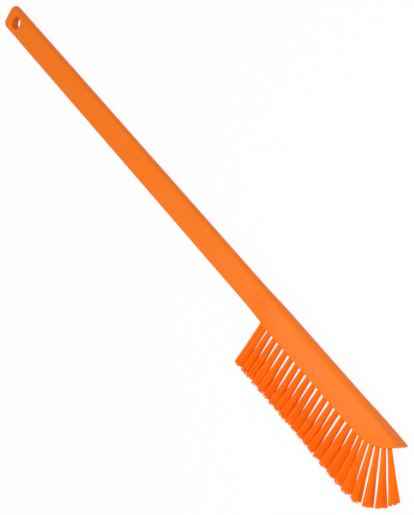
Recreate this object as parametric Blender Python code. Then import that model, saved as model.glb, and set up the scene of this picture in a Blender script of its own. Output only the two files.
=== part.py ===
"""A long-handled washing brush: a moulded body, one row of bristle tufts and the anchors that hold them.

Sizes are in metres. While it is being built the brush has X along its length from the handle's end,
Y = 0 along the crown of its spine with the bristles towards -Y, and Z = 0 at the middle of its
thickness. An empty then carries the whole brush so that it lies flat with the origin under its middle.
"""

import math
import random

import bmesh
import bpy
from mathutils import Matrix, Vector

# Handle
HANDLE_LENGTH = 0.402
HANDLE_THICKNESS = 0.008
HANDLE_END_HEIGHT = 0.0212
HANDLE_TOP_CORNER_RADIUS = 0.0032
HANDLE_LOW_CORNER_RADIUS = 0.0056
HANDLE_EDGE_RADIUS = 0.0015
HANDLE_SPINE_RADIUS = 0.0035

# Hanging hole
HANG_HOLE_RADIUS = 0.0055
HANG_HOLE_FROM_END = 0.0143
HANG_HOLE_RIM = 0.0010
HANG_HOLE_RIM_TURN = math.radians(72)

# Neck and head
NECK_LENGTH = 0.044
HEAD_THICKNESS = 0.013
HEAD_HEIGHT = 0.0226
HEAD_EDGE_RADIUS = 0.0010
HEAD_SPINE_RADIUS = 0.0055

# Tip
TIP_ARC_RADIUS = 0.050
TIP_NOSE_RADIUS = 0.0012
TIP_FACET_LENGTH = 0.052
TIP_FACET_DROP = 0.0018
TIP_SPINE_RADIUS = 0.0012

# Tufts: two close together at the neck, an even row, then a fan round the tip
FIRST_TUFT_FROM_NECK = 0.0223
NECK_TUFT_PITCH = 0.0046
ROW_FROM_NECK_TUFTS = 0.0062
ROW_TUFTS = 16
TUFT_PITCH = 0.00797
FAN_TUFTS = 6
FAN_FIRST_STEP = 0.0029
FAN_PITCH = 0.00605
TUFT_HOLE_RADIUS = 0.0021
TUFT_HOLE_DEPTH = 0.0075

# Lean of the tufts: slightly back along the row, then towards the tip, more and more to the last one
NECK_TUFT_LEANS = (math.radians(-2.5), math.radians(-2.0))
ROW_LEAN = math.radians(-1.4)
LAST_LEAN = math.radians(45.8)
LEAN_LEAD = 0.024

# Strands of a tuft
STRAND_RINGS = 2
STRAND_RADIUS = 0.00036
BRISTLE_LENGTH = 0.0424
TRIM_ARC_RADIUS = 0.055
TRIM_ARC_START = 0.0173
LENGTH_SPREAD = 0.0007
TIP_SPREAD = 0.0002
NECK_TIP_RADIUS = 0.0024
ROW_TIP_RADIUS = 0.0038
FAN_TIP_RADIUS = 0.0046
SIDE_TIP_RADIUS = 0.0043
ROOT_RECESS = 0.0005
STRAND_SEED = 24

# Anchors
ANCHOR_BITE = 0.00045
ANCHOR_HEIGHT = 0.0018
ANCHOR_THICKNESS = 0.0004
ANCHOR_UNDER = 0.0010

# Clearances between separate solids
TUFT_CLEARANCE = 0.0003
ANCHOR_CLEARANCE = 0.0003

# How finely round shapes are cut
SPINE_STEPS = 6
EDGE_STEPS = 3
END_STEPS = 5
NECK_STEPS = 8
TIP_STEPS = 12
NOSE_STEPS = 4
HOLE_SIDES = 14
RIM_STEPS = 3
HANG_HOLE_SIDES = 32
SHARP_ANGLE = math.radians(35)

# Places worked out from the sizes
NECK_END = HANDLE_LENGTH + NECK_LENGTH
NECK_TUFT_X = HANDLE_LENGTH + FIRST_TUFT_FROM_NECK
ROW_START = NECK_TUFT_X + NECK_TUFT_PITCH + ROW_FROM_NECK_TUFTS
ARC_START = ROW_START + (ROW_TUFTS - 0.5) * TUFT_PITCH
LAST_TUFT_TRAVEL = FAN_FIRST_STEP + (FAN_TUFTS - 1) * FAN_PITCH
TRIM_CENTRE = Vector((ARC_START + TRIM_ARC_START, TRIM_ARC_RADIUS - HEAD_HEIGHT - BRISTLE_LENGTH, 0))
ARC_CENTRE_Y = TIP_ARC_RADIUS - HEAD_HEIGHT
NOSE_Y = -TIP_FACET_DROP - TIP_NOSE_RADIUS
NOSE_X = ARC_START + math.sqrt((TIP_ARC_RADIUS - TIP_NOSE_RADIUS) ** 2 - (ARC_CENTRE_Y - NOSE_Y) ** 2)
BODY_LENGTH = NOSE_X + TIP_NOSE_RADIUS
FACET_START = BODY_LENGTH - TIP_FACET_LENGTH
NOSE_START = math.atan2(NOSE_X - ARC_START, ARC_CENTRE_Y - NOSE_Y)
PLUG_RADIUS = TUFT_HOLE_RADIUS - TUFT_CLEARANCE
ANCHOR_WIDTH = 2 * (TUFT_HOLE_RADIUS + ANCHOR_BITE)
ANCHOR_MIDDLE = TUFT_HOLE_DEPTH - TUFT_CLEARANCE - ANCHOR_UNDER - ANCHOR_HEIGHT / 2
EPSILON = 1e-5


def clear_scene():
    for obj in list(bpy.data.objects):
        bpy.data.objects.remove(obj, do_unlink=True)


def make_collection(name, hidden=False):
    collection = bpy.data.collections.new(name)
    bpy.context.scene.collection.children.link(collection)
    collection.hide_render = hidden
    return collection


def make_material(name, colour, roughness, metallic=0.0):
    material = bpy.data.materials.new(name)
    material.use_nodes = True
    shader = material.node_tree.nodes["Principled BSDF"]
    shader.inputs["Base Color"].default_value = (*colour, 1.0)
    shader.inputs["Roughness"].default_value = roughness
    shader.inputs["Metallic"].default_value = metallic
    return material


def object_from(bm, name, collection, parent, material=None):
    """A new object that holds the bmesh, smooth where its faces meet at a shallow angle."""
    bmesh.ops.recalc_face_normals(bm, faces=bm.faces)
    mesh = bpy.data.meshes.new(name)
    bm.to_mesh(mesh)
    bm.free()
    mesh.shade_smooth()
    mesh.set_sharp_from_angle(angle=SHARP_ANGLE)
    if material:
        mesh.materials.append(material)
    obj = bpy.data.objects.new(name, mesh)
    obj.parent = parent
    collection.objects.link(obj)
    return obj


def make_cutter(bm, name, collection, parent):
    cutter = object_from(bm, name, collection, parent)
    cutter.hide_render = True
    cutter.display_type = "WIRE"
    return cutter


def combine(obj, name, operation, other):
    """A live Boolean of the object with one other object."""
    modifier = obj.modifiers.new(name, "BOOLEAN")
    modifier.operation = operation
    modifier.solver = "EXACT"
    modifier.object = other


def subtract_all(obj, name, collection):
    """A live Boolean that cuts every object of a collection from the object."""
    modifier = obj.modifiers.new(name, "BOOLEAN")
    modifier.operation = "DIFFERENCE"
    modifier.solver = "EXACT"
    modifier.operand_type = "COLLECTION"
    modifier.collection = collection


def smoothstep(share):
    share = min(max(share, 0.0), 1.0)
    return share * share * (3 - 2 * share)


def between(start, end, share):
    return start + (end - start) * share


# The body's side profile, as functions of x

def head_share(x):
    """0 on the handle, 1 on the head, eased along the neck."""
    return smoothstep((x - HANDLE_LENGTH) / NECK_LENGTH)


def facet_share(x):
    return min(max((x - FACET_START) / (NOSE_X - FACET_START), 0.0), 1.0)


def spine_y(x):
    if x > NOSE_X:
        return NOSE_Y + math.sqrt(max(TIP_NOSE_RADIUS**2 - (x - NOSE_X) ** 2, 0.0))
    return -TIP_FACET_DROP * facet_share(x) ** 2


def underside_y(x):
    nose_x = NOSE_X + TIP_NOSE_RADIUS * math.sin(NOSE_START)
    if x >= nose_x:
        return NOSE_Y - math.sqrt(max(TIP_NOSE_RADIUS**2 - (x - NOSE_X) ** 2, 0.0))
    if x > ARC_START:
        return ARC_CENTRE_Y - math.sqrt(TIP_ARC_RADIUS**2 - (x - ARC_START) ** 2)
    return -between(HANDLE_END_HEIGHT, HEAD_HEIGHT, min(x / NECK_END, 1.0))


def half_thickness(x):
    return between(HANDLE_THICKNESS, HEAD_THICKNESS, head_share(x)) / 2


def spine_radius(x):
    radius = between(HANDLE_SPINE_RADIUS, HEAD_SPINE_RADIUS, head_share(x))
    return between(radius, TIP_SPINE_RADIUS, facet_share(x))


def edge_radius(x):
    return between(HANDLE_EDGE_RADIUS, HEAD_EDGE_RADIUS, head_share(x))


def end_inset(x, radius):
    """How far a rounded corner at the handle's end draws the outline in."""
    if x >= radius:
        return 0.0
    return radius - math.sqrt(radius**2 - (radius - x) ** 2)


def section(x):
    """The corner points of the body's cross section at x, as a closed ring of vectors."""
    low = underside_y(x) + end_inset(x, HANDLE_LOW_CORNER_RADIUS)
    high = spine_y(x) - end_inset(x, HANDLE_TOP_CORNER_RADIUS)
    half = half_thickness(x) - end_inset(x, HANDLE_EDGE_RADIUS)
    most = (high - low) / 2 - EPSILON
    spine = min(spine_radius(x), half - EPSILON, most)
    edge = min(edge_radius(x), half - EPSILON, most)
    corners = (
        (high - spine, half - spine, spine, 90, 0, SPINE_STEPS),
        (low + edge, half - edge, edge, 0, -90, EDGE_STEPS),
        (low + edge, edge - half, edge, -90, -180, EDGE_STEPS),
        (high - spine, spine - half, spine, 180, 90, SPINE_STEPS),
    )
    ring = []
    for y, z, radius, start, end, steps in corners:
        for step in range(steps + 1):
            angle = math.radians(between(start, end, step / steps))
            ring.append(Vector((x, y + radius * math.sin(angle), z + radius * math.cos(angle))))
    return ring


def quarter_turn(radius, steps):
    """Where sections are placed along a rounded corner that starts at the handle's end."""
    return [radius * (1 - math.cos(math.pi / 2 * i / steps)) for i in range(steps + 1)]


def stations():
    """Where along the body a section is placed: close together wherever the outline bends."""
    corners = (HANDLE_EDGE_RADIUS, HANDLE_TOP_CORNER_RADIUS, HANDLE_LOW_CORNER_RADIUS)
    ends = [x for radius in corners for x in quarter_turn(radius, END_STEPS)]
    neck = [HANDLE_LENGTH + NECK_LENGTH * i / NECK_STEPS for i in range(NECK_STEPS + 1)]
    arc = [ARC_START + TIP_ARC_RADIUS * math.sin(NOSE_START * i / TIP_STEPS) for i in range(TIP_STEPS)]
    turn = math.pi / 2 - NOSE_START
    nose = [
        NOSE_X + TIP_NOSE_RADIUS * math.sin(NOSE_START + turn * i / (NOSE_STEPS + 1))
        for i in range(NOSE_STEPS + 1)
    ]
    return sorted({*ends, *neck, FACET_START, *arc, NOSE_X, *nose})


def make_body(collection, parent, material):
    """The moulding: sections at every station, joined into one skin and capped at both ends."""
    bm = bmesh.new()
    rings = [[bm.verts.new(point) for point in section(x)] for x in stations()]
    for ring, following in zip(rings, rings[1:]):
        for i, corner in enumerate(ring):
            j = (i + 1) % len(ring)
            bm.faces.new((corner, ring[j], following[j], following[i]))
    bm.faces.new(rings[0])
    bm.faces.new(rings[-1])
    return object_from(bm, "brush_body", collection, parent, material)


def make_hang_cutter(collection, parent):
    """A spool with the hanging hole's bore and its two rounded rims, turned from its profile."""
    half = HANDLE_THICKNESS / 2
    flare = []
    for step in range(RIM_STEPS + 1):
        turn = HANG_HOLE_RIM_TURN * step / RIM_STEPS
        radius = HANG_HOLE_RADIUS + HANG_HOLE_RIM * (1 - math.cos(turn))
        flare.append((radius, half - HANG_HOLE_RIM * (1 - math.sin(turn))))
    last_radius, last_z = flare[-1]
    flare.append((last_radius + HANG_HOLE_RIM * math.tan(HANG_HOLE_RIM_TURN), last_z + HANG_HOLE_RIM))
    upper = [(0.0, flare[-1][1])] + flare[::-1]
    profile = upper + [(radius, -z) for radius, z in upper[::-1]]
    bm = bmesh.new()
    points = [bm.verts.new((radius, 0.0, z)) for radius, z in profile]
    for start, end in zip(points, points[1:]):
        bm.edges.new((start, end))
    bmesh.ops.spin(
        bm,
        geom=bm.verts[:] + bm.edges[:],
        axis=(0, 0, 1),
        cent=(0, 0, 0),
        steps=HANG_HOLE_SIDES,
        angle=2 * math.pi,
        use_merge=True,
    )
    bmesh.ops.remove_doubles(bm, verts=bm.verts, dist=EPSILON)
    cutter = make_cutter(bm, "hanging_hole", collection, parent)
    middle = (spine_y(HANG_HOLE_FROM_END) + underside_y(HANG_HOLE_FROM_END)) / 2
    cutter.location = (HANG_HOLE_FROM_END, middle, 0)


def lean_at(travel):
    """The lean of a tuft that stands this far along the underside from where the tip's arc starts."""
    share = max(travel + LEAN_LEAD, 0.0) / (LAST_TUFT_TRAVEL + LEAN_LEAD)
    return between(ROW_LEAN, LAST_LEAN, share**2)


def trimmed_length(mouth, out):
    """The length along a tuft from its mouth to where the bristles are trimmed: flat, then along an arc."""
    flat = (TRIM_CENTRE.y - TRIM_ARC_RADIUS - mouth.y) / out.y
    if mouth.x + flat * out.x <= TRIM_CENTRE.x:
        return flat
    start = mouth - TRIM_CENTRE
    along = start.dot(out)
    return math.sqrt(along**2 + TRIM_ARC_RADIUS**2 - start.length_squared) - along


def tuft_places():
    """Each tuft's hole mouth on the underside, its lean towards the tip and its flare at the ends."""
    places = []
    for i, lean in enumerate(NECK_TUFT_LEANS):
        x = NECK_TUFT_X + i * NECK_TUFT_PITCH
        places.append((Vector((x, underside_y(x), 0)), lean, NECK_TIP_RADIUS))
    for i in range(ROW_TUFTS):
        x = ROW_START + i * TUFT_PITCH
        places.append((Vector((x, underside_y(x), 0)), lean_at(x - ARC_START), ROW_TIP_RADIUS))
    for i in range(FAN_TUFTS):
        travel = FAN_FIRST_STEP + i * FAN_PITCH
        x = ARC_START + TIP_ARC_RADIUS * math.sin(travel / TIP_ARC_RADIUS)
        places.append((Vector((x, underside_y(x), 0)), lean_at(travel), FAN_TIP_RADIUS))
    return places


def place(obj, mouth, lean):
    """Puts an object whose own Z runs out along the bristles into its hole."""
    obj.location = mouth
    obj.rotation_euler = (math.pi / 2, 0, lean)


def add_cylinder(bm, radius, low, high, sides):
    bmesh.ops.create_cone(
        bm,
        cap_ends=True,
        segments=sides,
        radius1=radius,
        radius2=radius,
        depth=high - low,
        matrix=Matrix.Translation((0, 0, (low + high) / 2)),
    )


def add_box(bm, width, depth, height, middle):
    """A box centred on the tuft's axis: width along the row, depth through the head."""
    size = Matrix.Diagonal((width, depth, height, 1))
    bmesh.ops.create_cube(bm, size=1, matrix=Matrix.Translation((0, 0, middle)) @ size)


def strand_roots():
    """A full hexagonal pattern of strand roots that just fits in the plug, middle one first."""
    pitch = (PLUG_RADIUS - STRAND_RADIUS - EPSILON) / STRAND_RINGS
    roots = [Vector((0, 0))]
    for ring in range(1, STRAND_RINGS + 1):
        for side in range(6):
            corner = Vector((math.cos(side * math.pi / 3), math.sin(side * math.pi / 3)))
            along = Vector((math.cos((side + 2) * math.pi / 3), math.sin((side + 2) * math.pi / 3)))
            roots += [pitch * (ring * corner + step * along) for step in range(ring)]
    return roots


def add_strand(bm, root, tip, length):
    """A three-sided strand from inside the plug out to its tip."""
    low = -ROOT_RECESS - TUFT_CLEARANCE
    slope = (tip - root) / length
    shear = Matrix(((1, 0, slope.x, root.x), (0, 1, slope.y, root.y), (0, 0, 1, 0), (0, 0, 0, 1)))
    made = bmesh.ops.create_cone(
        bm,
        cap_ends=True,
        segments=3,
        radius1=STRAND_RADIUS,
        radius2=STRAND_RADIUS,
        depth=length - low,
        matrix=Matrix.Translation((0, 0, (length + low) / 2)),
    )
    bmesh.ops.transform(bm, matrix=shear, verts=made["verts"])


def make_strands(name, length, tip_radius, draw, helpers, parent):
    """All strands of one tuft, spreading evenly so that none meets another."""
    bm = bmesh.new()
    outermost = PLUG_RADIUS - STRAND_RADIUS
    spread_x = (tip_radius - STRAND_RADIUS - TIP_SPREAD) / outermost
    spread_y = (SIDE_TIP_RADIUS - STRAND_RADIUS - TIP_SPREAD) / outermost
    for root in strand_roots():
        stray = Vector((draw.uniform(-TIP_SPREAD, TIP_SPREAD), draw.uniform(-TIP_SPREAD, TIP_SPREAD)))
        tip = Vector((root.x * spread_x, root.y * spread_y)) + stray
        add_strand(bm, root, tip, length + draw.uniform(-LENGTH_SPREAD, LENGTH_SPREAD))
    return make_cutter(bm, name, helpers, parent)


def make_anchor_space(name, helpers, parent):
    """A cutter for the room that an anchor takes up, with its clearance all round."""
    bm = bmesh.new()
    gap = 2 * ANCHOR_CLEARANCE
    add_box(bm, ANCHOR_THICKNESS + gap, ANCHOR_WIDTH + gap, ANCHOR_HEIGHT + gap, -ANCHOR_MIDDLE)
    return make_cutter(bm, name, helpers, parent)


def make_tuft(name, mouth, lean, tip_radius, draw, collections, parent, material):
    """A tuft: the round plug in its hole, the strands fused to it and the window its anchor passes through."""
    parts, helpers = collections
    bm = bmesh.new()
    add_cylinder(bm, PLUG_RADIUS, TUFT_CLEARANCE - TUFT_HOLE_DEPTH, -ROOT_RECESS, HOLE_SIDES)
    tuft = object_from(bm, name, parts, parent, material)
    place(tuft, mouth, lean)

    length = trimmed_length(mouth, Vector((math.sin(lean), -math.cos(lean), 0)))
    strands = make_strands(name + "_strands", length, tip_radius, draw, helpers, parent)
    place(strands, mouth, lean)
    combine(tuft, "strands", "UNION", strands)

    window = make_anchor_space(name + "_window", helpers, parent)
    place(window, mouth, lean)
    combine(tuft, "anchor window", "DIFFERENCE", window)


def make_anchor(name, mouth, lean, parts, parent, material):
    """The flat plate that a tuft is folded round, wider than the hole so that it bites into the walls."""
    bm = bmesh.new()
    add_box(bm, ANCHOR_THICKNESS, ANCHOR_WIDTH, ANCHOR_HEIGHT, -ANCHOR_MIDDLE)
    anchor = object_from(bm, name, parts, parent, material)
    place(anchor, mouth, lean)


def make_hole_cutter(number, mouth, lean, holes, helpers, parent):
    """A blind hole for a tuft, with the narrow slot on both sides that its anchor sits in."""
    bm = bmesh.new()
    add_cylinder(bm, TUFT_HOLE_RADIUS, -TUFT_HOLE_DEPTH, TUFT_HOLE_RADIUS, HOLE_SIDES)
    hole = make_cutter(bm, f"tuft_hole_{number:02d}", holes, parent)
    place(hole, mouth, lean)
    slot = make_anchor_space(f"anchor_slot_{number:02d}", helpers, parent)
    place(slot, mouth, lean)
    combine(hole, "anchor slot", "UNION", slot)


def set_origin_under_middle(root, objects):
    """Moves the whole brush so that the origin lies under the middle of its box, on the floor."""
    bpy.context.view_layer.update()
    graph = bpy.context.evaluated_depsgraph_get()
    points = []
    for obj in objects:
        evaluated = obj.evaluated_get(graph)
        mesh = evaluated.to_mesh()
        points += [evaluated.matrix_world @ vertex.co for vertex in mesh.vertices]
        evaluated.to_mesh_clear()
    low = Vector(min(point[axis] for point in points) for axis in range(3))
    high = Vector(max(point[axis] for point in points) for axis in range(3))
    root.location = (-(low.x + high.x) / 2, -(low.y + high.y) / 2, -low.z)


def main():
    clear_scene()
    parts = make_collection("washing_brush")
    helpers = make_collection("helpers", hidden=True)
    holes = make_collection("holes", hidden=True)
    root = bpy.data.objects.new("brush_frame", None)
    parts.objects.link(root)

    plastic = make_material("orange_polypropylene", (0.95, 0.21, 0.014), 0.42)
    bristle = make_material("orange_filament", (0.98, 0.145, 0.006), 0.5)
    steel = make_material("anchor_steel", (0.62, 0.62, 0.64), 0.35, metallic=1.0)

    places = tuft_places()
    body = make_body(parts, root, plastic)
    make_hang_cutter(holes, root)
    for number, (mouth, lean, _) in enumerate(places, start=1):
        make_hole_cutter(number, mouth, lean, holes, helpers, root)
    subtract_all(body, "holes", holes)

    draw = random.Random(STRAND_SEED)
    for number, (mouth, lean, tip_radius) in enumerate(places, start=1):
        make_tuft(f"tuft_{number:02d}", mouth, lean, tip_radius, draw, (parts, helpers), root, bristle)
        make_anchor(f"anchor_{number:02d}", mouth, lean, parts, root, steel)

    set_origin_under_middle(root, [obj for obj in parts.objects if obj.type == "MESH"])


main()
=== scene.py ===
"""The looks of a long-handled washing brush: its moulded body, its bristle tufts and their anchors.

Everything is in metres in the CAD model's frame. The brush lies on its side: X runs along it from the
handle's end to the tip, its spine faces +Y, its bristles face -Y and Z is up.
"""

import math
import random

import bmesh
import bpy
from mathutils import Matrix, Vector


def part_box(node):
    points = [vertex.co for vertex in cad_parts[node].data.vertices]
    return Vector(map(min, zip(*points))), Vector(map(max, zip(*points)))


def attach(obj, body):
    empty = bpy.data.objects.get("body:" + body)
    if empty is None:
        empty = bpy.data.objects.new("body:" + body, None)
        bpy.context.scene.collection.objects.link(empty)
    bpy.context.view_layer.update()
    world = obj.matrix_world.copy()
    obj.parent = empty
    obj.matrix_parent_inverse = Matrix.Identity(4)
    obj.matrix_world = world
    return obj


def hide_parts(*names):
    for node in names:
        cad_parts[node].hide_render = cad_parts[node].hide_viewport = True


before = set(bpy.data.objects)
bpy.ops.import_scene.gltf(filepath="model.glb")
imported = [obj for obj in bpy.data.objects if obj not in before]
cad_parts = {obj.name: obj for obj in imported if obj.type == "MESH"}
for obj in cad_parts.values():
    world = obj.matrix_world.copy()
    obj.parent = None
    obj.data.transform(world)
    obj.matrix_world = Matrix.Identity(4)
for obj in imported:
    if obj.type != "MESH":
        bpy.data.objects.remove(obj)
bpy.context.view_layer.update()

# Body, measured from the handle's end, down from the spine's crown and out from mid-thickness
HANDLE_LENGTH = 0.402
HANDLE_THICKNESS = 0.008
HANDLE_END_HEIGHT = 0.0212
HANDLE_TOP_CORNER = 0.0032
HANDLE_LOW_CORNER = 0.0056
HANDLE_EDGE = 0.0015
HANDLE_SPINE = 0.0035
NECK_LENGTH = 0.044
HEAD_THICKNESS = 0.013
HEAD_HEIGHT = 0.0226
HEAD_EDGE = 0.0010
HEAD_SPINE = 0.0030

# How the head's two faces draw together: their share at the spine, and how far below it they start
HEAD_CROWN = 0.34
HEAD_CROWN_DEPTH = 0.020

# Tip
TIP_ARC = 0.050
TIP_ARC_START = 0.5586
TIP_NOSE = 0.0012
TIP_FACET_LENGTH = 0.052
TIP_FACET_DROP = 0.0018
TIP_SPINE = 0.0012

# Hanging hole
HANG_HOLE_RADIUS = 0.0055
HANG_HOLE_FROM_END = 0.0143
HANG_HOLE_RIM = 0.0010
HANG_HOLE_RIM_TURN = math.radians(72)

# How finely the body is shaped
SPINE_STEPS = 12
EDGE_STEPS = 5
FACE_STEPS = 12
FLAT_STEPS = 2
FACE_MARGIN = 0.0004
MOST_MARGIN_SHARE = 0.2
END_STEPS = 10
LENGTH_STEP = 0.012
NECK_STEPS = 24
TIP_STEPS = 40
NOSE_STEPS = 6
RIM_STEPS = 8
HANG_HOLE_SIDES = 64
TUFT_HOLE_SIDES = 28
SHARP_ANGLE = math.radians(35)
HAIR = 1e-5

# How many tufts there are, and how many of them stand at the neck and round the tip
TUFTS = 24
NECK_TUFTS = 2
FAN_TUFTS = 6

# The hole that a tuft stands in, its anchor's depth and the line that the bristles are trimmed to
TUFT_HOLE_RADIUS = 0.0021
TUFT_HOLE_DEPTH = 0.0075
ANCHOR_DEPTH = 0.0053
TRIM_LEVEL = -0.0657
TRIM_ARC = 0.043
TRIM_ARC_START = 0.5807

# From which share of a tuft's longest reach a corner of its CAD strands counts as one of their ends
STRAND_END_SHARE = 0.9

# Filament halves of a tuft, and how each passes from its fold, round the anchor, to the hole's mouth
FILAMENTS = 112
WIDE_FILAMENTS = 146
WIDE_FLARE = 0.065
FILAMENT_RADIUS = 0.00020
FILAMENT_SIDES = 5
FOLD_DEPTH = 0.0070
FOLD_WIDTH = 0.7
FOLD_RISE = 0.7
BEND_DEPTH = 0.0062
ANCHOR_ROOM = 0.0004
GOLDEN_TURN = math.pi * (3 - math.sqrt(5))

# How full a tuft is, how far it swells at the mouth and how fast it opens, the last eight each by itself
NECK_FILL = 0.90
FAN_FILL = 0.845
MOUTH_BULGE = 0.00012
LATE_BULGE = 0.00026
LATE_TUFTS = (15, 16, 17, 18)
BULGE_LENGTH = 0.0016
NECK_FLARE = 0.030
ROW_FLARE = 0.046
LAST_FLARES = (0.074, 0.090, 0.088, 0.078, 0.062, 0.056, 0.061, 0.078)

# Degrees by which a tuft leans further back than its CAD strands
LEAN_BACK = {1: -1.1, 2: 1.7, 17: -1.0, 18: -0.4, 19: 0.2, 20: 1.7, 21: 1.7, 22: 1.0, 23: -0.4, 24: -0.3}

# How tufts and filaments stray, how the two halves of a tuft part, and how its filaments gather
RANDOM_SEED = 7
TUFT_STRAY = math.radians(0.35)
FLARE_STRAY = 0.08
LEAN_STRAY = 0.005
BEND_STRAY = 0.00022
LENGTH_STRAY = 0.00025
BOW = 0.0003
PARTING = 0.00020
NOMINAL_LENGTH = 0.042
GATHERINGS = 7
GATHERING_TURN = 0.6
GATHERING_PULL = 0.010
GATHERING_LEAN = 0.004
GATHERING_LENGTH = 0.0006

# How light the filaments are: the lightest of most tufts, of the last ones, which are painted lighter as
# if more light fell on them, and the range below it
ROW_TONE = 0.6
FAN_PAINTED_LIGHT_TONE = 1.0
PAINTED_LIGHT_TUFTS = 5
TONE_RANGE = 0.5

# Colours, and the strength of the filaments' painted glow, an emission that stands in for light passed on
# between the filaments
PLASTIC_DEEP = (0.86, 0.163, 0.004, 1)
PLASTIC_BRIGHT = (0.88, 0.187, 0.007, 1)
FILAMENT_DEEP = (1.0, 0.160, 0.002, 1)
FILAMENT_BRIGHT = (1.0, 0.255, 0.006, 1)
FILAMENT_PAINTED_GLOW = (1.0, 0.075, 0.0, 1)
PAINTED_GLOW_STRENGTH = 0.065
STEEL_DULL = (0.50, 0.50, 0.52, 1)
STEEL_BRIGHT = (0.70, 0.70, 0.72, 1)
FLOOR_GREY = (0.86, 0.86, 0.86, 1)
WHITE = (1, 1, 1, 1)

# Floor and light; each lamp's place, what it points at, its side and its power in watts
FLOOR_RADIUS = 6.0
FLOOR_SIDES = 96
FLOOR_GAP = 0.0002
FLOOR_WHITE = 0.93
ROOM_LIGHT = 0.52
LAMPS = {
    "key_lamp": ((0.42, 0.36, 0.93), (0.20, 0.0, 0.0), 0.45, 4.7),
    "side_lamp": ((0.85, -0.10, 0.46), (0.20, 0.0, 0.0), 0.4, 0.9),
    "sheen_lamp": ((-0.37, -0.24, 0.87), (0.21, 0.0, 0.0), 0.3, 2.0),
}

# Camera: its lens in millimetres, its directions, and its place from the body's start
LENS = 169.857
CAMERA_RIGHT = (0.53194339, 0.45571375, -0.71369546)
CAMERA_UP = (-0.61140721, 0.7898212, 0.04861787)
CAMERA_BACK = (0.58584763, 0.4104966, 0.69876684)
CAMERA_FROM_START = (1.50112, 0.79066, 1.38502)

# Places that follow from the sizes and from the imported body, which starts at the handle's end
body_low, body_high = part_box("brush_body")
BODY_START = Vector((body_low.x, body_high.y, (body_low.z + body_high.z) / 2))
BODY_LENGTH = body_high.x - body_low.x
NECK_END = HANDLE_LENGTH + NECK_LENGTH
NOSE_X = BODY_LENGTH - TIP_NOSE
NOSE_Y = -TIP_FACET_DROP - TIP_NOSE
FACET_START = BODY_LENGTH - TIP_FACET_LENGTH
ARC_CENTRE_Y = TIP_ARC - HEAD_HEIGHT
NOSE_START = math.atan2(NOSE_X - TIP_ARC_START, ARC_CENTRE_Y - NOSE_Y)


# Small helpers

def clamped(share):
    return min(max(share, 0.0), 1.0)


def smoothstep(share):
    share = clamped(share)
    return share * share * (3 - 2 * share)


def between(start, end, share):
    return start + (end - start) * share


def circle_height(radius, out):
    """How high a circle stands at a distance out from its middle, 0 beyond its edge."""
    return math.sqrt(max(radius**2 - out**2, 0.0))


def smooth(mesh):
    """Shades a mesh smooth apart from its real corners."""
    mesh.shade_smooth()
    mesh.set_sharp_from_angle(angle=SHARP_ANGLE)


def finish_mesh(bm, name):
    """A new smooth mesh from the bmesh."""
    mesh = bpy.data.meshes.new(name)
    bm.to_mesh(mesh)
    bm.free()
    smooth(mesh)
    return mesh


def add_object(name, data):
    obj = bpy.data.objects.new(name, data)
    bpy.context.scene.collection.objects.link(obj)
    return obj


# Shader maths: sums on wires add Math nodes

class Wire:
    """An output socket that can be used in sums."""

    def __init__(self, finish, socket):
        self.finish = finish
        self.socket = socket

    def sum_with(self, operation, other):
        return self.finish.node("ShaderNodeMath", {"operation": operation}, {0: self, 1: other})

    def __add__(self, other):
        return self.sum_with("ADD", other)

    def __mul__(self, other):
        return self.sum_with("MULTIPLY", other)

    __radd__ = __add__
    __rmul__ = __mul__


class Finish:
    """A material or world that is being wired up."""

    def __init__(self, owner):
        owner.use_nodes = True
        self.owner = owner
        self.tree = owner.node_tree
        self.tree.nodes.clear()

    def node(self, kind, settings=None, sockets=None, output=0):
        """Adds a node: its settings first, then the values or wires of its sockets."""
        made = self.tree.nodes.new(kind)
        for name, value in (settings or {}).items():
            setattr(made, name, value)
        for name, value in (sockets or {}).items():
            if isinstance(value, Wire):
                self.tree.links.new(value.socket, made.inputs[name])
            else:
                made.inputs[name].default_value = value
        return Wire(self, made.outputs[output])

    def blend(self, factor, first, second):
        """Two colours mixed by a wire from 0 to 1, in the numbered colour sockets of a Mix node."""
        settings = {"data_type": "RGBA"}
        return self.node("ShaderNodeMix", settings, {"Factor": factor, 6: first, 7: second}, output=2)

    def object_place(self, stretch=(1, 1, 1)):
        """Object coordinates, scaled so that a pattern is drawn out along an axis."""
        coordinates = self.node("ShaderNodeTexCoord", output="Object")
        return self.node("ShaderNodeMapping", {}, {"Vector": coordinates, "Scale": stretch})

    def noise(self, scale, stretch=(1, 1, 1), detail=2.0):
        """A soft random pattern, so many times finer than a metre."""
        sockets = {"Vector": self.object_place(stretch), "Scale": scale, "Detail": detail}
        return self.node("ShaderNodeTexNoise", {}, sockets)

    def bump(self, height, distance, strength):
        sockets = {"Height": height, "Distance": distance, "Strength": strength}
        return self.node("ShaderNodeBump", {}, sockets)

    def surface(self, shader, kind="ShaderNodeOutputMaterial"):
        target = self.tree.nodes.new(kind)
        self.tree.links.new(shader.socket, target.inputs["Surface"])


def new_finish(name):
    return Finish(bpy.data.materials.new(name))


# The moulded body

def head_share(x):
    """0 on the handle, 1 on the head, eased along the neck."""
    return smoothstep((x - HANDLE_LENGTH) / NECK_LENGTH)


def facet_share(x):
    """0 where the facet on the tip's spine starts, 1 at the nose."""
    return clamped((x - FACET_START) / (NOSE_X - FACET_START))


def spine_y(x):
    """How high the spine is: level, then falling along the facet and round the nose."""
    if x > NOSE_X:
        return NOSE_Y + circle_height(TIP_NOSE, x - NOSE_X)
    return -TIP_FACET_DROP * facet_share(x) ** 2


def underside_y(x):
    """How high the underside is: a little lower towards the head, then up the tip's arc to the nose."""
    if x >= NOSE_X + TIP_NOSE * math.sin(NOSE_START):
        return NOSE_Y - circle_height(TIP_NOSE, x - NOSE_X)
    if x > TIP_ARC_START:
        return ARC_CENTRE_Y - circle_height(TIP_ARC, x - TIP_ARC_START)
    return -between(HANDLE_END_HEIGHT, HEAD_HEIGHT, min(x / NECK_END, 1.0))


def corner_inset(x, radius):
    """How far a rounded corner at the handle's end draws the outline in."""
    return radius - circle_height(radius, max(radius - x, 0.0))


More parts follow.
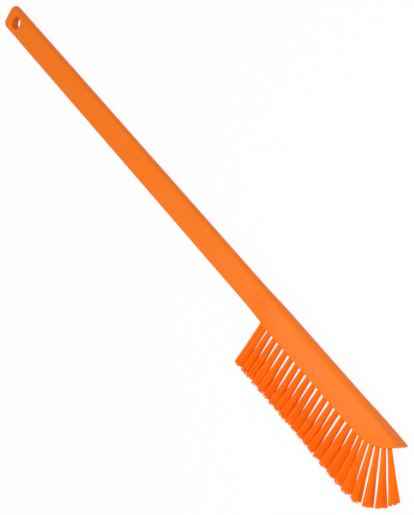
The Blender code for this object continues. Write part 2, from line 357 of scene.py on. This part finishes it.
def straight(start, end, steps):
    """Points of a straight stretch between two roundings, close to both ends and evenly between them."""
    margin = min(FACE_MARGIN / max((end - start).length, HAIR), MOST_MARGIN_SHARE)
    shares = [margin] + [step / steps for step in range(1, steps)] + [1 - margin]
    return [between(start, end, share) for share in shares]


def crowned(point, high):
    """Draws the head's faces together, more and more towards the spine; the tip's facet stays full."""
    rise = clamped((point.y - high) / HEAD_CROWN_DEPTH + 1)
    share = HEAD_CROWN * head_share(point.x) * (1 - facet_share(point.x))
    return Vector((point.x, point.y, point.z * (1 - share * rise**2)))


def section(x):
    """The cross section at x: two wide roundings at the spine and two small ones at the underside."""
    low = underside_y(x) + corner_inset(x, HANDLE_LOW_CORNER)
    high = spine_y(x) - corner_inset(x, HANDLE_TOP_CORNER)
    half = between(HANDLE_THICKNESS, HEAD_THICKNESS, head_share(x)) / 2 - corner_inset(x, HANDLE_EDGE)
    most = min(half, (high - low) / 2) - HAIR
    spine = between(between(HANDLE_SPINE, HEAD_SPINE, head_share(x)), TIP_SPINE, facet_share(x))
    spine = min(spine, most)
    edge = min(between(HANDLE_EDGE, HEAD_EDGE, head_share(x)), most)
    roundings = (
        (high - spine, half - spine, spine, 90, 0, SPINE_STEPS),
        (low + edge, half - edge, edge, 0, -90, EDGE_STEPS),
        (low + edge, edge - half, edge, -90, -180, EDGE_STEPS),
        (high - spine, spine - half, spine, 180, 90, SPINE_STEPS),
    )
    arcs = []
    for y, z, radius, first, last, steps in roundings:
        arc = []
        for step in range(steps + 1):
            turn = math.radians(between(first, last, step / steps))
            arc.append(Vector((x, y + radius * math.sin(turn), z + radius * math.cos(turn))))
        arcs.append(arc)
    ring = []
    for arc, following, steps in zip(arcs, arcs[1:] + arcs[:1], (FACE_STEPS, FLAT_STEPS) * 2):
        ring += arc + straight(arc[-1], following[0], steps)
    return [crowned(point, high) for point in ring]


def quarter_turn(radius):
    """Stations along a rounded corner at the handle's end."""
    return [radius * (1 - math.cos(math.pi / 2 * step / END_STEPS)) for step in range(END_STEPS + 1)]


def even_steps(start, end, steps):
    """Evenly spaced values from start up to, but without, end."""
    return [between(start, end, step / steps) for step in range(steps)]


def stations():
    """Where along the body a section is drawn: close together wherever the outline bends."""
    ends = quarter_turn(HANDLE_EDGE) + quarter_turn(HANDLE_TOP_CORNER) + quarter_turn(HANDLE_LOW_CORNER)
    handle = even_steps(HANDLE_LOW_CORNER, HANDLE_LENGTH, round(HANDLE_LENGTH / LENGTH_STEP))
    neck = even_steps(HANDLE_LENGTH, NECK_END, NECK_STEPS)
    head = even_steps(NECK_END, TIP_ARC_START, round((TIP_ARC_START - NECK_END) / LENGTH_STEP))
    arc = [TIP_ARC_START + TIP_ARC * math.sin(turn) for turn in even_steps(0, NOSE_START, TIP_STEPS)]
    nose_turns = even_steps(NOSE_START, math.pi / 2, NOSE_STEPS)
    nose = [NOSE_X + TIP_NOSE * math.sin(turn) for turn in nose_turns]
    return sorted({*ends, *handle, *neck, *head, *arc, *nose})


def draw_out(bm, rods):
    """Closed skins in an empty bmesh, one for each rod's sections: a ring extruded to the next."""
    corner = bm.verts.layers.int.new("corner")
    sides = len(rods[0][0])
    for number, rod in enumerate(rods):
        circle = bmesh.ops.create_circle(bm, segments=sides, cap_ends=True)["verts"]
        for side, vertex in enumerate(circle):
            vertex[corner] = number * sides + side
            vertex.co = rod[0][side]
    ring = list(bm.edges)
    for step in range(1, len(rods[0])):
        made = bmesh.ops.extrude_edge_only(bm, edges=ring)["geom"]
        fresh = {item for item in made if isinstance(item, bmesh.types.BMVert)}
        for vertex in fresh:
            number, side = divmod(vertex[corner], sides)
            vertex.co = rods[number][step][side]
        edges = [item for item in made if isinstance(item, bmesh.types.BMEdge)]
        ring = [edge for edge in edges if fresh.issuperset(edge.verts)]
    bmesh.ops.edgeloop_fill(bm, edges=ring)


def add_hanging_hole(bm):
    """The core that leaves the hanging hole: its bore and two rounded rims, spun from their profile."""
    half = HANDLE_THICKNESS / 2
    flare = []
    for step in range(RIM_STEPS + 1):
        turn = HANG_HOLE_RIM_TURN * step / RIM_STEPS
        radius = HANG_HOLE_RADIUS + HANG_HOLE_RIM * (1 - math.cos(turn))
        flare.append((radius, half - HANG_HOLE_RIM * (1 - math.sin(turn))))
    radius, height = flare[-1]
    flare.append((radius + HANG_HOLE_RIM * math.tan(HANG_HOLE_RIM_TURN), height + HANG_HOLE_RIM))
    upper = [(0.0, flare[-1][1])] + flare[::-1]
    middle = (spine_y(HANG_HOLE_FROM_END) + underside_y(HANG_HOLE_FROM_END)) / 2
    centre = Vector((HANG_HOLE_FROM_END, middle, 0))
    profile = [Vector((out, 0, z)) for out, z in upper + [(out, -z) for out, z in upper[::-1]]]
    points = [bm.verts.new(centre + point) for point in profile]
    lines = [bm.edges.new(pair) for pair in zip(points, points[1:])]
    bmesh.ops.spin(
        bm,
        geom=points + lines,
        axis=(0, 0, 1),
        cent=centre,
        steps=HANG_HOLE_SIDES,
        angle=2 * math.pi,
        use_merge=True,
    )
    bmesh.ops.remove_doubles(bm, verts=bm.verts, dist=HAIR)


def add_tuft_hole(bm, stand):
    """The core that leaves a tuft's blind hole: half of it stands out of the hole's mouth."""
    bmesh.ops.create_cone(
        bm,
        cap_ends=True,
        segments=TUFT_HOLE_SIDES,
        radius1=TUFT_HOLE_RADIUS,
        radius2=TUFT_HOLE_RADIUS,
        depth=2 * TUFT_HOLE_DEPTH,
        matrix=stand,
    )


def make_body(stands):
    """The moulding, with its hanging hole and a blind hole for every tuft."""
    bm = bmesh.new()
    draw_out(bm, [[section(x) for x in stations()]])
    bmesh.ops.translate(bm, verts=bm.verts, vec=BODY_START)
    bmesh.ops.recalc_face_normals(bm, faces=bm.faces)
    body = add_object("moulded_body", finish_mesh(bm, "moulded_body"))

    cores = bmesh.new()
    add_hanging_hole(cores)
    bmesh.ops.translate(cores, verts=cores.verts, vec=BODY_START)
    for stand in stands:
        add_tuft_hole(cores, stand)
    bmesh.ops.recalc_face_normals(cores, faces=cores.faces)
    cutter = add_object("cores", finish_mesh(cores, "cores"))
    cut = body.modifiers.new("holes", "BOOLEAN")
    cut.operation = "DIFFERENCE"
    cut.solver = "EXACT"
    cut.object = cutter
    shaped = bpy.data.meshes.new_from_object(body.evaluated_get(bpy.context.evaluated_depsgraph_get()))
    body.modifiers.clear()
    bpy.data.objects.remove(cutter)
    smooth(shaped)
    body.data = shaped
    return body


# The bristle tufts

def tuft_stand(number):
    """A tuft's own frame at its hole's mouth, Z out along its CAD strands, from them and its anchor."""
    low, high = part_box(f"anchor_{number:02d}")
    anchor = (low + high) / 2
    corners = [vertex.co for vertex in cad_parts[f"tuft_{number:02d}"].data.vertices]
    reach = max((corner - anchor).length for corner in corners)
    ends = [corner for corner in corners if (corner - anchor).length > STRAND_END_SHARE * reach]
    out = sum(ends, Vector()) / len(ends) - anchor
    out.z = 0
    out.normalize()
    up = Vector((0, 0, 1))
    turn = Matrix((up.cross(out), up, out)).transposed().to_4x4()
    return Matrix.Translation(anchor + out * ANCHOR_DEPTH) @ turn


def trimmed_share(start, way):
    """How many times a filament's way fits between its start and the line of the trimmed ends."""
    flat = (TRIM_LEVEL - start.y) / way.y
    if start.x + flat * way.x <= TRIM_ARC_START:
        return flat
    from_centre = (start - Vector((TRIM_ARC_START, TRIM_LEVEL + TRIM_ARC, 0))).xy
    along = from_centre.dot(way.xy)
    square = way.xy.length_squared
    beyond = from_centre.length_squared - TRIM_ARC**2
    return (math.sqrt(along**2 - square * beyond) - along) / square


def stray(draw, size):
    """A small random step to any side."""
    return Vector((draw.uniform(-size, size), draw.uniform(-size, size), 0))


def around(turn, out=1.0):
    """The point at a turn and a distance from the middle of a tuft or of a filament."""
    return Vector((out * math.cos(turn), out * math.sin(turn), 0))


def spread_point(place, count, twist=0.0):
    """One of count points spread evenly over a round of radius 1, as seeds are in a sunflower."""
    return around(place * GOLDEN_TURN + twist, math.sqrt((place + 0.5) / count))


def tuft_form(number):
    """How much of its hole a tuft fills, how far it swells at the mouth and how fast it opens."""
    if number <= NECK_TUFTS:
        return NECK_FILL, 0.0, NECK_FLARE
    flare = ROW_FLARE
    if number > TUFTS - len(LAST_FLARES):
        flare = LAST_FLARES[number - TUFTS - 1]
    if number > TUFTS - FAN_TUFTS:
        return FAN_FILL, 0.0, flare
    return 1.0, LATE_BULGE if number in LATE_TUFTS else MOUTH_BULGE, flare


def gatherings(draw):
    """Where in a tuft its filaments gather, and how each gathering leans and outgrows the others."""
    made = []
    for place in range(GATHERINGS):
        middle = spread_point(place, GATHERINGS, draw.uniform(-GATHERING_TURN, GATHERING_TURN))
        lean = stray(draw, GATHERING_LEAN)
        made.append((middle, lean, draw.uniform(-GATHERING_LENGTH, GATHERING_LENGTH)))
    return made


def filament_path(draw, stand, spread, groups, fill, bulge, flare):
    """Half a filament, from the fold under the anchor, out of the hole's mouth and to the trimmed end."""
    side = math.copysign(1, spread.x)
    outer = TUFT_HOLE_RADIUS - FILAMENT_RADIUS
    root = spread * outer * fill
    middle, lean, longer = min(groups, key=lambda group: (group[0] - spread).length)
    way = Vector((spread.x * flare + side * PARTING / NOMINAL_LENGTH, spread.y * flare, 1))
    way += stray(draw, LEAN_STRAY)
    way += lean + (middle - spread) * GATHERING_PULL
    bulged = root + spread * bulge
    start = stand @ bulged - BODY_START
    length = trimmed_share(start, stand.to_3x3() @ way) + longer
    length += draw.uniform(-LENGTH_STRAY, LENGTH_STRAY)
    past_anchor = Vector((root.x + side * ANCHOR_ROOM * (1 - abs(root.x) / outer), root.y, 0))
    return [
        Vector((0, root.y, -FOLD_DEPTH)),
        Vector((past_anchor.x * FOLD_WIDTH, root.y, -between(BEND_DEPTH, FOLD_DEPTH, FOLD_RISE))),
        past_anchor - Vector((0, 0, BEND_DEPTH)),
        root,
        bulged + way * BULGE_LENGTH,
        bulged + way * length / 2 - spread * BOW + stray(draw, BEND_STRAY),
        bulged + way * length,
    ]


def rings_along(path):
    """The rings of a filament whose middle follows the path."""
    ring = []
    for side in range(FILAMENT_SIDES):
        ring.append(FILAMENT_RADIUS * around(2 * math.pi * side / FILAMENT_SIDES))
    rings = []
    for before, point, after in zip(path[:1] + path, path, path[1:] + path[-1:]):
        turn = Vector((0, 0, 1)).rotation_difference(after - before)
        rings.append([point + turn @ corner for corner in ring])
    return rings


def make_bristles(number, stand, draw):
    """One tuft: filaments folded round the anchor, packed in the hole and flaring out to their ends."""
    fill, bulge, flare = tuft_form(number)
    flare *= draw.uniform(1 - FLARE_STRAY, 1 + FLARE_STRAY)
    lean = draw.uniform(-TUFT_STRAY, TUFT_STRAY) - math.radians(LEAN_BACK.get(number, 0.0))
    stand = stand @ Matrix.Rotation(lean, 4, "Y")
    groups = gatherings(draw)
    count = WIDE_FILAMENTS if flare > WIDE_FLARE else FILAMENTS
    paths = []
    for place in range(count):
        spread = spread_point(place, count)
        paths.append(filament_path(draw, stand, spread, groups, fill, bulge, flare))
    bm = bmesh.new()
    draw_out(bm, [rings_along(path) for path in paths])
    tone = bm.verts.layers.float.new("tone")
    corner = bm.verts.layers.int["corner"]
    # The last tufts are painted lighter, as if more light fell on them; each filament's tone below that
    # is random
    lightest = FAN_PAINTED_LIGHT_TONE if number > TUFTS - PAINTED_LIGHT_TUFTS else ROW_TONE
    tones = [lightest - TONE_RANGE * draw.random() for _ in paths]
    for vertex in bm.verts:
        vertex[tone] = tones[vertex[corner] // FILAMENT_SIDES]
    bmesh.ops.transform(bm, matrix=stand, verts=bm.verts)
    bmesh.ops.recalc_face_normals(bm, faces=bm.faces)
    name = f"bristles_{number:02d}"
    return add_object(name, finish_mesh(bm, name))


# Finishes

def plastic_finish():
    """Satin moulded polypropylene: even orange, faint flow streaks along it and a fine skin."""
    finish = new_finish("orange_polypropylene")
    streaks = finish.noise(scale=16.0, stretch=(1.0, 6.0, 6.0))
    mottle = finish.noise(scale=90.0)
    grain = finish.noise(scale=2400.0, detail=1.0)
    shader = finish.node("ShaderNodeBsdfPrincipled", {}, {
        "Base Color": finish.blend(streaks * 0.6 + mottle * 0.4, PLASTIC_DEEP, PLASTIC_BRIGHT),
        "Roughness": mottle * 0.10 + 0.27,
        "Normal": finish.bump(grain * 0.7 + mottle * 0.3, distance=0.0001, strength=0.18),
        "IOR": 1.45,
        "Specular IOR Level": 0.12,
    })
    finish.surface(shader)
    return finish.owner


def filament_finish():
    """Clear orange filament: each lighter or deeper, the last tufts painted lighter as if more light fell
    on them, with a faint painted glow standing in for the light it passes on.
    """
    finish = new_finish("orange_filament")
    tone = finish.node("ShaderNodeAttribute", {"attribute_name": "tone"}, output="Fac")
    patches = finish.noise(scale=500.0)
    shader = finish.node("ShaderNodeBsdfPrincipled", {}, {
        "Base Color": finish.blend(tone * 0.7 + patches * 0.3, FILAMENT_DEEP, FILAMENT_BRIGHT),
        "Roughness": tone * 0.12 + 0.36,
        "Normal": finish.bump(patches, distance=0.00004, strength=0.2),
        "IOR": 1.5,
        "Specular IOR Level": 0.1,
        # Painted glow: a constant emission that stands in for light passed on between the filaments
        "Emission Color": FILAMENT_PAINTED_GLOW,
        "Emission Strength": PAINTED_GLOW_STRENGTH,
    })
    finish.surface(shader)
    return finish.owner


def steel_finish():
    """Anchor strip: rolled steel with fine lines along it and a few dull spots."""
    finish = new_finish("anchor_steel")
    lines = finish.noise(scale=900.0, stretch=(1.0, 0.08, 1.0))
    spots = finish.noise(scale=700.0)
    shader = finish.node("ShaderNodeBsdfPrincipled", {}, {
        "Base Color": finish.blend(spots, STEEL_DULL, STEEL_BRIGHT),
        "Roughness": lines * 0.25 + 0.2,
        "Metallic": 1.0,
        "Normal": finish.bump(lines, distance=0.00003, strength=0.3),
    })
    finish.surface(shader)
    return finish.owner


# Floor, light and camera

def seen_directly(finish):
    """1 for rays from the camera, from a mirror-like surface or through a clear one, otherwise 0."""
    kinds = ("Camera", "Glossy", "Transmission")
    rays = [finish.node("ShaderNodeLightPath", output=f"Is {kind} Ray") for kind in kinds]
    sockets = {0: rays[0] + rays[1] + rays[2], 1: 1.0}
    return finish.node("ShaderNodeMath", {"operation": "MINIMUM"}, sockets)


def make_floor():
    """A pale floor that takes the brush's shadow and looks nearly white itself."""
    bm = bmesh.new()
    bmesh.ops.create_circle(bm, segments=FLOOR_SIDES, radius=FLOOR_RADIUS, cap_ends=True)
    bmesh.ops.translate(bm, verts=bm.verts, vec=(0, 0, -FLOOR_GAP))
    floor = add_object("floor", finish_mesh(bm, "floor"))
    finish = new_finish("pale_floor")
    matt = finish.node("ShaderNodeBsdfDiffuse", {}, {"Color": FLOOR_GREY})
    white = finish.node("ShaderNodeEmission", {}, {"Color": WHITE, "Strength": 1.0})
    shares = {0: seen_directly(finish) * FLOOR_WHITE, 1: matt, 2: white}
    finish.surface(finish.node("ShaderNodeMixShader", {}, shares))
    floor.data.materials.append(finish.owner)


def make_world():
    """Even light from all round, seen as white."""
    world = bpy.data.worlds.new("studio")
    bpy.context.scene.world = world
    finish = Finish(world)
    strength = seen_directly(finish) * (1 - ROOM_LIGHT) + ROOM_LIGHT
    sky = finish.node("ShaderNodeBackground", {}, {"Color": WHITE, "Strength": strength})
    finish.surface(sky, "ShaderNodeOutputWorld")


def make_lamp(name, place, target, side, power):
    """A square lamp turned towards its target, which the camera doesn't see."""
    lamp = bpy.data.lights.new(name, "AREA")
    lamp.shape = "SQUARE"
    lamp.size = side
    lamp.energy = power
    holder = add_object(name, lamp)
    holder.location = place
    holder.rotation_euler = (Vector(target) - Vector(place)).to_track_quat("-Z", "Y").to_euler()
    holder.visible_camera = False


def make_camera():
    """The photograph's camera, from its fitted place and its right, up and backward directions."""
    data = bpy.data.cameras.new("camera")
    data.lens = LENS
    camera = add_object("camera", data)
    turn = Matrix((CAMERA_RIGHT, CAMERA_UP, CAMERA_BACK)).transposed().to_4x4()
    camera.matrix_world = Matrix.Translation(BODY_START + Vector(CAMERA_FROM_START)) @ turn
    bpy.context.scene.camera = camera


def main():
    draw = random.Random(RANDOM_SEED)
    stands = [tuft_stand(number) for number in range(1, TUFTS + 1)]
    plastic = plastic_finish()
    filament = filament_finish()
    steel = steel_finish()

    body = make_body(stands)
    body.data.materials.append(plastic)
    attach(body, "root")
    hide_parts("brush_body")

    for number, stand in enumerate(stands, start=1):
        bristles = make_bristles(number, stand, draw)
        bristles.data.materials.append(filament)
        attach(bristles, "root")
        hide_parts(f"tuft_{number:02d}")
        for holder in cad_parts[f"anchor_{number:02d}"].material_slots:
            holder.material = steel

    make_floor()
    make_world()
    for name, settings in LAMPS.items():
        make_lamp(name, *settings)
    make_camera()
    bpy.context.scene.view_settings.view_transform = "Standard"


main()
